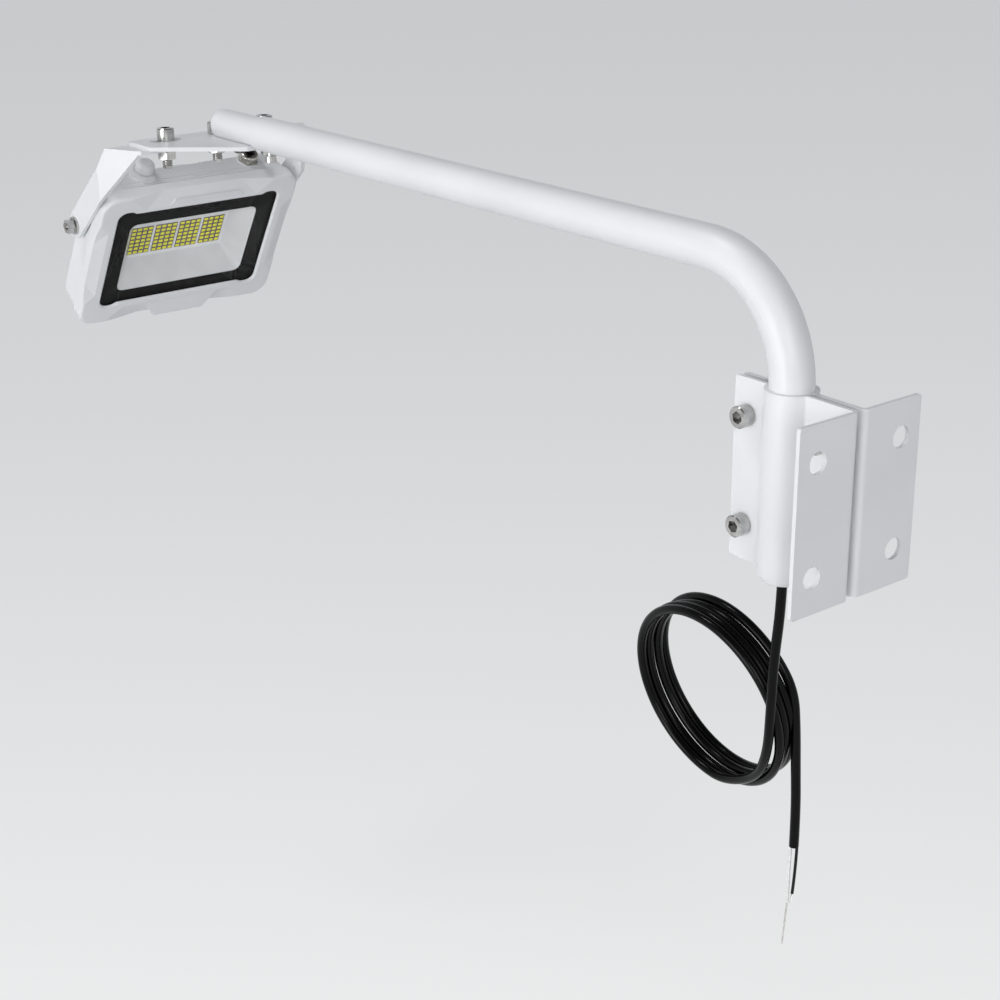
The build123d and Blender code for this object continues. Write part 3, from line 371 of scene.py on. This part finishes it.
# %% Give each CAD part its finish
finish_of = {
    "arm_tube": powder_coat, "clamp_half_near": powder_coat, "clamp_half_far": powder_coat,
    "spigot": powder_coat, "head_plate": powder_coat, "yoke": powder_coat,
    "housing": cast_paint, "bezel": cast_paint, "foot_bush": white_rubber,
    "clamp_nuts": stainless, "plate_washers": stainless, "plate_nuts": stainless,
    "clamp_screws": stainless, "plate_bolts": stainless, "lock_screw": stainless,
    "side_bolts": stainless, "case_screws": stainless,
    "gland_body": nickel, "gland_nut": nickel, "gland_seal": gasket_rubber,
    "vent_body": vent_plastic, "vent_cap": vent_plastic,
    "gasket": gasket_rubber, "glass": window_glass, "printed_border": border_print,
    "reflector": reflector_white, "led_board": board_white, "led_chips": phosphor,
    "driver_blocks": driver_black, "arm_cable": black_sheath, "lamp_lead": black_sheath,
    "cord_run": black_sheath, "cord_coil": black_sheath, "cord_tail": black_sheath,
    "black_core": black_insulation, "white_core": white_insulation,
}
for name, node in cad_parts.items():
    node.data.materials.clear()
    node.data.materials.append(finish_of[name])
print("dressed", len(finish_of), "parts")

# %% [markdown]
# ## Socket head screws
# A CAD screw is a plain rod with a head. The real one has a thread that shows under the nuts. A
# thread is a zigzag line turned about the screw's axis while it moves down one pitch per turn,
# which is the spin operator with a step along the axis. After one turn the zigzag meets itself
# one groove lower, so merging the doubles joins the turns. The head is turned too, and its socket
# is a hexagon whose sides are divided until it has as many points as the head's rim, so that both
# loops can be bridged.


# %% Turned shapes and threads
RIM_POINTS, SOCKET_SIDES = 48, 6
MERGE = 1e-6


def profile_edges(shape, profile):
    """A chain of edges in the XZ plane through (radius, height) points."""
    chain = [shape.verts.new((radius, 0, height)) for radius, height in profile]
    return chain, [shape.edges.new(pair) for pair in zip(chain[:-1], chain[1:])]


def turned(shape, profile):
    """Turn a profile once round the Z axis."""
    chain, edges = profile_edges(shape, profile)
    bmesh.ops.spin(shape, geom=chain + edges, cent=(0, 0, 0), axis=(0, 0, 1), dvec=(0, 0, 0),
                   angle=2 * pi, steps=RIM_POINTS, use_merge=True)


def threaded_rod(shape, start, turns, root_radius, crest_radius, pitch, steps=24):
    """A closed rod with a helical thread, from the height start downwards."""
    tip_width = 0.82
    rod = bmesh.new()
    profile = []
    for turn in range(turns):
        profile += [(root_radius, start - turn * pitch),
                    (crest_radius, start - (turn + 0.5) * pitch)]
    profile.append((root_radius, start - turns * pitch))
    chain, edges = profile_edges(rod, profile)
    bmesh.ops.spin(rod, geom=chain + edges, cent=(0, 0, 0), axis=(0, 0, 1),
                   dvec=(0, 0, -pitch / steps), angle=2 * pi, steps=steps, use_merge=False)
    bmesh.ops.remove_doubles(rod, verts=rod.verts, dist=MERGE)
    middle = start - (turns + 1) * pitch / 2
    for above, height, width in ((True, start + pitch / 4, 1.0),
                                 (False, start - (turns + 1.6) * pitch, tip_width)):
        rim = [e for e in rod.edges if e.is_boundary and (e.verts[0].co.z > middle) == above]
        lip = bmesh.ops.extrude_edge_only(rod, edges=rim)["geom"]
        for vert in (v for v in lip if isinstance(v, bmesh.types.BMVert)):
            flat = Vector((vert.co.x, vert.co.y)).normalized() * root_radius * width
            vert.co = (flat.x, flat.y, height)
        bmesh.ops.remove_doubles(rod, verts=rod.verts, dist=MERGE)
        bmesh.ops.contextual_create(rod, geom=[e for e in rod.edges if e.is_boundary
                                               and (e.verts[0].co.z > middle) == above])
    mesh = bpy.data.meshes.new("rod")
    rod.to_mesh(mesh)
    rod.free()
    shape.from_mesh(mesh)
    bpy.data.meshes.remove(mesh)


def socket_screw(length, shank_radius, head_radius, head_height, socket_radius, socket_depth,
                 pitch):
    """A socket head screw: its head stands on height 0 and its thread goes down."""
    shape = bmesh.new()
    edge = head_height / 14
    neck = 0.001
    turned(shape, [(0, -neck), (shank_radius, -neck), (shank_radius, 0),
                   (head_radius - edge / 2, 0), (head_radius, edge / 2),
                   (head_radius, head_height - edge), (head_radius - edge, head_height)])
    bmesh.ops.remove_doubles(shape, verts=shape.verts, dist=MERGE)
    rim = [e for e in shape.edges if e.is_boundary]
    hexagon = bmesh.ops.create_circle(shape, cap_ends=False, segments=SOCKET_SIDES,
                                      radius=socket_radius)["verts"]
    bmesh.ops.translate(shape, verts=hexagon, vec=(0, 0, head_height))
    sides = list({e for v in hexagon for e in v.link_edges})
    bmesh.ops.subdivide_edges(shape, edges=sides, cuts=RIM_POINTS // SOCKET_SIDES - 1)
    mouth = [e for e in shape.edges if e.is_wire]
    bmesh.ops.bridge_loops(shape, edges=rim + mouth)
    wall = bmesh.ops.extrude_edge_only(shape, edges=mouth)["geom"]
    deep = [v for v in wall if isinstance(v, bmesh.types.BMVert)]
    bmesh.ops.translate(shape, verts=deep, vec=(0, 0, -socket_depth))
    floor_edges = [e for e in wall if isinstance(e, bmesh.types.BMEdge) and e.is_boundary]
    socket_floor = bmesh.ops.contextual_create(shape, geom=floor_edges)["faces"]
    bmesh.ops.poke(shape, faces=socket_floor, offset=-socket_depth / 6)
    turns = int((length - neck / 2) / pitch) - 2
    root_radius, crest_radius = shank_radius * 0.86, shank_radius * 0.99
    threaded_rod(shape, -neck * 0.75, turns, root_radius, crest_radius, pitch)
    return shape


def at_places(shape, places):
    """Copies of a shape, one at each of the matrices, in one bmesh."""
    pattern = bpy.data.meshes.new("pattern")
    bmesh.ops.recalc_face_normals(shape, faces=shape.faces)
    shape.to_mesh(pattern)
    shape.free()
    everything = bmesh.new()
    for place in places:
        copy = pattern.copy()
        copy.transform(place)
        everything.from_mesh(copy)
        bpy.data.meshes.remove(copy)
    bpy.data.meshes.remove(pattern)
    return everything


# %% Clamp screws and plate bolts
M8, HEAD, SOCKET, SOCKET_DEPTH, PITCH = 0.004, 0.0065, 0.0038, 0.0045, 0.00125
CLAMP_SCREW_LENGTH, CLAMP_HEAD_HEIGHT = 0.020, 0.008
PLATE_BOLT_LENGTH, PLATE_HEAD_HEIGHT = 0.022, 0.0094
CLAMP_FACE_X = 0.00425
BOLT_ROW_Y, PLATE_TOP_Z = -0.6575, 0.1114
to_plus_x = Matrix.Rotation(pi / 2, 4, "Y")
clamp_places = []
for y, z, turn in ((-0.079, -0.0325, 0.3), (-0.079, 0.0325, 0.75),
                   (-0.022, -0.0325, 0.1), (-0.022, 0.0325, 0.5)):
    socket_turn = Matrix.Rotation(turn, 4, "Z")
    clamp_places.append(Matrix.Translation((CLAMP_FACE_X, y, z)) @ to_plus_x @ socket_turn)
clamp_screw = socket_screw(CLAMP_SCREW_LENGTH, M8, HEAD, CLAMP_HEAD_HEIGHT, SOCKET, SOCKET_DEPTH,
                           PITCH)
place_piece("clamp_screw_set", mesh_from(at_places(clamp_screw, clamp_places), "clamp_screw_set"),
            stainless, "wall_clamp", "stainless", "clamp_screws")
bolt_places = [Matrix.Translation((x, BOLT_ROW_Y, PLATE_TOP_Z)) @ Matrix.Rotation(turn, 4, "Z")
               for x, turn in ((-0.0435, 0.2), (0.0, 0.9), (0.0435, 0.55))]
plate_bolt = socket_screw(PLATE_BOLT_LENGTH, M8, HEAD, PLATE_HEAD_HEIGHT, SOCKET, SOCKET_DEPTH,
                          PITCH)
place_piece("plate_bolt_set", mesh_from(at_places(plate_bolt, bolt_places), "plate_bolt_set"),
            stainless, "head_bracket", "stainless", "plate_bolts")

# %% [markdown]
# ## Light chips
# The board carries four blocks of small chips. Each is a dark frame with yellow phosphor in it: a
# box whose front is inset twice, once for the frame and once for a shallow pan. The lamp's own
# axes are worked out once, so that the chips can be counted in columns and rows along the board.

# %% Chips
TILT = radians(31)
PIVOT = Vector((0, -0.7255, 0.0412))
PIVOT_DEPTH, PIVOT_RISE = 0.0275, 0.0203
BOARD_DEPTH = 0.0209
CHIP_WIDTH, CHIP_HEIGHT, CHIP_DEPTH = 0.0045, 0.0035, 0.0007
FRAME_WIDTH, PAN_WIDTH, PAN_DEPTH = 0.0006, 0.0001, 0.00008
BLOCKS, COLUMNS, ROWS = 4, 4, 7
BLOCK_PITCH, COLUMN_PITCH, ROW_PITCH, CHIP_SHIFT = 0.0218, 0.0049, 0.0040, -0.002
face_out = Vector((0, cos(TILT), -sin(TILT)))
face_up = Vector((0, sin(TILT), cos(TILT)))
face_middle = PIVOT + face_out * PIVOT_DEPTH - face_up * PIVOT_RISE
chip = bmesh.new()
bmesh.ops.create_cube(chip, size=1.0)
bmesh.ops.scale(chip, verts=chip.verts, vec=(CHIP_WIDTH, CHIP_HEIGHT, CHIP_DEPTH))
chip_front = [f for f in chip.faces if f.normal.z > 0.9]
bmesh.ops.inset_region(chip, faces=chip_front, thickness=FRAME_WIDTH)
bmesh.ops.inset_region(chip, faces=chip_front, thickness=PAN_WIDTH, depth=-PAN_DEPTH)
for face in chip_front:
    face.material_index = 1
chip_turn = Matrix((Vector((-1, 0, 0)), face_up, face_out)).transposed().to_4x4()
chip_places = []
for block in range(BLOCKS):
    for column in range(COLUMNS):
        for row in range(ROWS):
            across = (CHIP_SHIFT + (block - (BLOCKS - 1) / 2) * BLOCK_PITCH
                      + (column - (COLUMNS - 1) / 2) * COLUMN_PITCH)
            up = (row - (ROWS - 1) / 2) * ROW_PITCH
            middle = (face_middle - face_out * (BOARD_DEPTH - CHIP_DEPTH / 2) + face_up * up
                      + Vector((-across, 0, 0)))
            chip_places.append(Matrix.Translation(middle) @ chip_turn)
place_piece("chip_set", mesh_from(at_places(chip, chip_places), "chip_set"),
            [chip_frame, phosphor], "lamp", "phosphor_yellow", "led_chips")

# %% [markdown]
# ## The cord
# The cord is one flexible line: it hangs out of the arm's foot, falls into a coil of almost four
# turns and leaves it straight down. Modelling it as joined tubes would show every joint, so it is
# a single NURBS spline. Its hanging points are listed; the turns of the coil are worked out,
# because a coil is a circle that slowly moves along its own axis. Each turn sits beside the last.

# %% Cord
CORD_RADIUS = 0.003
COIL_MIDDLE = Vector((-0.0146, -0.1135, -0.1588))
COIL_AXIS = Vector((-0.976, 0.035, 0.214)).normalized()
COIL_RADIUS = 0.0597
TURN_SPACING = 0.00605
COIL_START = -0.0100
WAVER, WAVER_PACE = 0.0012, 0.31
POINTS_PER_TURN = 16
coil_back = Vector((0, 0, 1)).cross(COIL_AXIS).normalized()
coil_down = coil_back.cross(COIL_AXIS)


def on_coil(turns, radius, along):
    """A point of the coil: turns are counted from its lowest point towards the outer side."""
    angle = 2 * pi * turns
    outwards = coil_down * cos(angle) + coil_back * sin(angle)
    return COIL_MIDDLE + outwards * radius + COIL_AXIS * along


run_points = [(0, -0.0505, -0.0585), (0, -0.0505, -0.078), (0.0006, -0.0535, -0.112),
              (0.0004, -0.054, -0.145), (-0.004, -0.059, -0.175), (-0.012, -0.074, -0.201)]
tail_points = [(-0.0205, -0.0525, -0.163), (-0.0206, -0.051, -0.188), (-0.020, -0.0486, -0.214),
               (-0.020, -0.0486, -0.2395)]
FIRST_TURN, LAST_TURN = -0.02, 3.70
coil_points = []
step_count = round((LAST_TURN - FIRST_TURN) * POINTS_PER_TURN)
for step in range(step_count + 1):
    turns = FIRST_TURN + (LAST_TURN - FIRST_TURN) * step / step_count
    along = COIL_START + TURN_SPACING * turns
    radius = COIL_RADIUS + WAVER * sin(2 * pi * turns * WAVER_PACE)
    coil_points.append(on_coil(turns, radius, along))
cord_curve = nurbs_line("cord", run_points + coil_points + tail_points, CORD_RADIUS)
cord_line = line_points(cord_curve)
cord = place_piece("cord", cord_curve, black_sheath, "arm", "black_sheath",
                   "cord_run", "cord_coil", "cord_tail")

# %% [markdown]
# ### The bare ends
# The sheath is cut off square, and two thin cores come out of it: a black one and a longer white
# one. Each is a short spline of its own, and its last millimetres are stripped to twisted, tinned
# copper strands. A twist of strands is drawn as one fluted rod: a star-shaped ring that is
# extruded step by step and turned and thinned a little each time.

# %% Cores
CORE_RADIUS = 0.00095
black_route = [(-0.0215, -0.0474, -0.2395), (-0.0213, -0.0475, -0.257),
               (-0.0199, -0.0478, -0.2725)]
black_tip = (-0.0186, -0.0478, -0.279)
white_route = [(-0.0185, -0.0498, -0.2395), (-0.0182, -0.0500, -0.262),
               (-0.0182, -0.0500, -0.279)]
white_tip = (-0.0168, -0.0511, -0.30898)


def strand_twist(name, start, end, radius):
    """A twist of six tinned strands from one point to another, a little thinner at its tip."""
    ring_points, steps = 24, 20
    dents = (0, 0.16, 0.32, 0.16)
    step_turn, step_thin, tip_thin = 0.35, 0.992, 0.80
    shape = bmesh.new()
    ring = bmesh.ops.create_circle(shape, cap_ends=True, segments=ring_points,
                                   radius=radius)["verts"]
    for number, vert in enumerate(ring):
        vert.co *= 1.0 - dents[number % 4]
    along = Vector(end) - Vector(start)
    front = list(shape.faces)
    for step in range(steps):
        front = bmesh.ops.extrude_face_region(shape, geom=front)["geom"]
        verts = [item for item in front if isinstance(item, bmesh.types.BMVert)]
        front = [item for item in front if isinstance(item, bmesh.types.BMFace)]
        bmesh.ops.translate(shape, verts=verts, vec=(0, 0, along.length / steps))
        bmesh.ops.rotate(shape, verts=verts, cent=(0, 0, 0),
                         matrix=Matrix.Rotation(step_turn, 3, "Z"))
        thin = tip_thin if step == steps - 1 else step_thin
        bmesh.ops.scale(shape, verts=verts, vec=(thin, thin, 1))
    inner = [f for f in shape.faces if len(f.verts) == ring_points
             and 1e-6 < f.calc_center_median().z < along.length * 0.99]
    bmesh.ops.delete(shape, geom=inner, context="FACES_ONLY")
    turn = along.to_track_quat("Z", "Y").to_matrix().to_4x4()
    bmesh.ops.transform(shape, matrix=Matrix.Translation(start) @ turn, verts=shape.verts)
    return place_piece(name, mesh_from(shape, name, 60), tinned, "arm", "stainless")


cores, tips = {}, {}
for name, route, tip, finish, slot in (
        ("black_core_wire", black_route, black_tip, black_insulation, "black_insulation"),
        ("white_core_wire", white_route, white_tip, white_insulation, "white_insulation")):
    core_curve = nurbs_line(name, route, CORE_RADIUS)
    cores[name] = place_piece(name, core_curve, finish, "arm", slot, name.replace("_wire", ""))
    tips[name] = strand_twist(name.replace("_core_wire", "_core_tip"), route[-1], tip,
                              CORE_RADIUS * 0.72)
    core_length = line_length(line_points(core_curve))
    print(name, round(core_length, 4), "m")

# %% [markdown]
# ### The lead to the lamp
# Inside the arm the cord is hidden. It shows again where a lead comes down out of the spigot and
# bends over to the gland on the lamp. The lamp tilts. This lead is only turned into a mesh with
# its place baked in, and it is fastened to no body.

# %% Lamp lead
LEAD_RADIUS = 0.0025
lead_points = [(0, -0.616, 0.1204), (0, -0.6245, 0.1204), (0, -0.6305, 0.109),
               (-0.005, -0.638, 0.100), (-0.021, -0.655, 0.097), (-0.039, -0.676, 0.0995),
               (-0.054, -0.6919, 0.0972), (-0.054, -0.7001, 0.0835)]
lead_curve = nurbs_line("lead_curve", lead_points, LEAD_RADIUS)
lead_line = line_points(lead_curve)
lead_holder = bpy.data.objects.new("lead_holder", lead_curve)
lead_mesh = bpy.data.meshes.new_from_object(lead_holder)
bpy.data.objects.remove(lead_holder)
lead = place_piece("lead", lead_mesh, black_sheath, None, "black_sheath", "lamp_lead")
for face in lead.data.polygons:
    face.use_smooth = True
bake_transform(lead)
print("lead", round(line_length(lead_line), 4), "m,", len(lead_mesh.polygons), "faces")

# %% [markdown]
# ## Floor and backdrop
# The light is shown against a plain pale grey that gets a little lighter towards the bottom. One
# large disc under the object gives that, because the camera looks down and sees nothing else. For
# the lamps it is pale paper that takes the object's soft shadow. The camera, the mirrors and the
# glass see that paper mixed with a grey of its own, so the background keeps its tone however the
# lamps stand. Along a floor, height in the picture goes with one over the distance, so the ramp
# is fed with that. The paper is clear from below, so that the underside of the light can be
# looked at too.

# %% Floor
FLOOR_HEIGHT, FLOOR_RADIUS = -0.62, 40.0
NEAREST, FAR_SHIFT = 0.9, 0.925
PAPER_FAR, PAPER_NEAR, PAPER_SHARE = (0.735, 0.745, 0.76), (0.99, 1.0, 1.0), 0.7
floor_shape = bmesh.new()
bmesh.ops.create_circle(floor_shape, cap_ends=True, segments=96, radius=FLOOR_RADIUS)
bmesh.ops.translate(floor_shape, verts=floor_shape.verts, vec=(0, 0, FLOOR_HEIGHT))
bmesh.ops.recalc_face_normals(floor_shape, faces=floor_shape.faces)
if next(iter(floor_shape.faces)).normal.z < 0:
    bmesh.ops.reverse_faces(floor_shape, faces=floor_shape.faces)
floor_mesh = bpy.data.meshes.new("floor")
floor_shape.to_mesh(floor_mesh)
floor_shape.free()
floor = bpy.data.objects.new("floor", floor_mesh)
bpy.context.scene.collection.objects.link(floor)
floor_finish, floor_tree, floor_shader = new_finish("floor_paper", (0.74, 0.745, 0.755), 0.95)
floor_shader.inputs["Specular IOR Level"].default_value = 0.0
floor_place = floor_tree.nodes.new("ShaderNodeTexCoord")
floor_along = floor_tree.nodes.new("ShaderNodeVectorMath")
floor_along.operation = "DOT_PRODUCT"
floor_along.inputs[1].default_value = (-sin(yaw), -cos(yaw), 0)
floor_tree.links.new(floor_place.outputs["Object"], floor_along.inputs[0])
floor_far = calculate(floor_tree, "ADD", floor_along.outputs["Value"], FAR_SHIFT)
floor_near = calculate(floor_tree, "MAXIMUM", floor_far, NEAREST)
floor_share = calculate(floor_tree, "DIVIDE", 1.0, floor_near)
paper = ramp(floor_tree, floor_share, PAPER_FAR, PAPER_NEAR, (0.11, 0.74))
paper_light = floor_tree.nodes.new("ShaderNodeEmission")
floor_tree.links.new(paper, paper_light.inputs["Color"])
floor_ray = floor_tree.nodes.new("ShaderNodeLightPath")
seen = calculate(floor_tree, "MAXIMUM", floor_ray.outputs["Is Camera Ray"],
                 floor_ray.outputs["Is Glossy Ray"])
seen_too = calculate(floor_tree, "MAXIMUM", seen, floor_ray.outputs["Is Transmission Ray"])
paper_part = calculate(floor_tree, "MULTIPLY", seen_too, PAPER_SHARE)
floor_top = mix_shaders(floor_tree, paper_part, floor_shader.outputs[0], paper_light.outputs[0])
floor_side = floor_tree.nodes.new("ShaderNodeNewGeometry")
floor_clear = floor_tree.nodes.new("ShaderNodeBsdfTransparent")
floor_sheet = mix_shaders(floor_tree, floor_side.outputs["Backfacing"], floor_top,
                          floor_clear.outputs[0])
floor_tree.links.new(floor_sheet, floor_tree.nodes["Material Output"].inputs["Surface"])
floor.data.materials.append(floor_finish)
print("floor at", FLOOR_HEIGHT)

# %% [markdown]
# ## Lamps
# In the picture the sides that face left are the lightest and the tops are the darkest, so the
# key lamp is a large soft one at the left, a little below the object, and a wide fill lamp stands
# on the wall's side. A small lamp above draws the thin bright lines on the cord and the screws.
# The room around has pale walls and a dark ceiling, which gives polished metal something dark to
# mirror. The camera itself sees a plain grey instead of the room.


# %% Lamps
def area_lamp(name, place, target, size, power):
    """A square soft white lamp that points at a target."""
    data = bpy.data.lights.new(name, "AREA")
    data.shape = "SQUARE"
    data.size = size
    data.energy = power
    lamp = bpy.data.objects.new(name, data)
    lamp.location = place
    lamp.rotation_mode = "QUATERNION"
    lamp.rotation_quaternion = (Vector(target) - Vector(place)).to_track_quat("-Z", "Y")
    bpy.context.scene.collection.objects.link(lamp)


MIDDLE = (0, -0.35, 0.0)
for lamp_name, lamp_place, lamp_size, lamp_power in (("key", (2.4, -0.1, -0.15), 1.5, 31.0),
                                                     ("fill", (1.2, 1.9, 0.9), 1.2, 17.0),
                                                     ("spark", (0.7, -0.9, 1.7), 0.35, 8.0)):
    area_lamp(lamp_name, lamp_place, MIDDLE, lamp_size, lamp_power)
WALL_LIGHT, CEILING_DARK = (0.68, 0.695, 0.72), (0.13, 0.132, 0.136)
PLAIN_GREY = (0.575, 0.582, 0.595)
world = bpy.data.worlds.new("studio")
bpy.context.scene.world = world
world.use_nodes = True
room = world.node_tree
room_place = room.nodes.new("ShaderNodeTexCoord")
room_height = room.nodes.new("ShaderNodeSeparateXYZ")
room.links.new(room_place.outputs["Generated"], room_height.inputs[0])
room_walls = ramp(room, room_height.outputs["Z"], WALL_LIGHT, CEILING_DARK, (0.33, 0.72))
room.links.new(room_walls, room.nodes["Background"].inputs["Color"])
room_seen = room.nodes.new("ShaderNodeBackground")
room_seen.inputs["Color"].default_value = (*PLAIN_GREY, 1)
room_ray = room.nodes.new("ShaderNodeLightPath")
room_mix = mix_shaders(room, room_ray.outputs["Is Camera Ray"],
                       room.nodes["Background"].outputs[0], room_seen.outputs[0])
room.links.new(room_mix, room.nodes["World Output"].inputs["Surface"])
bpy.context.scene.view_settings.view_transform = "Standard"
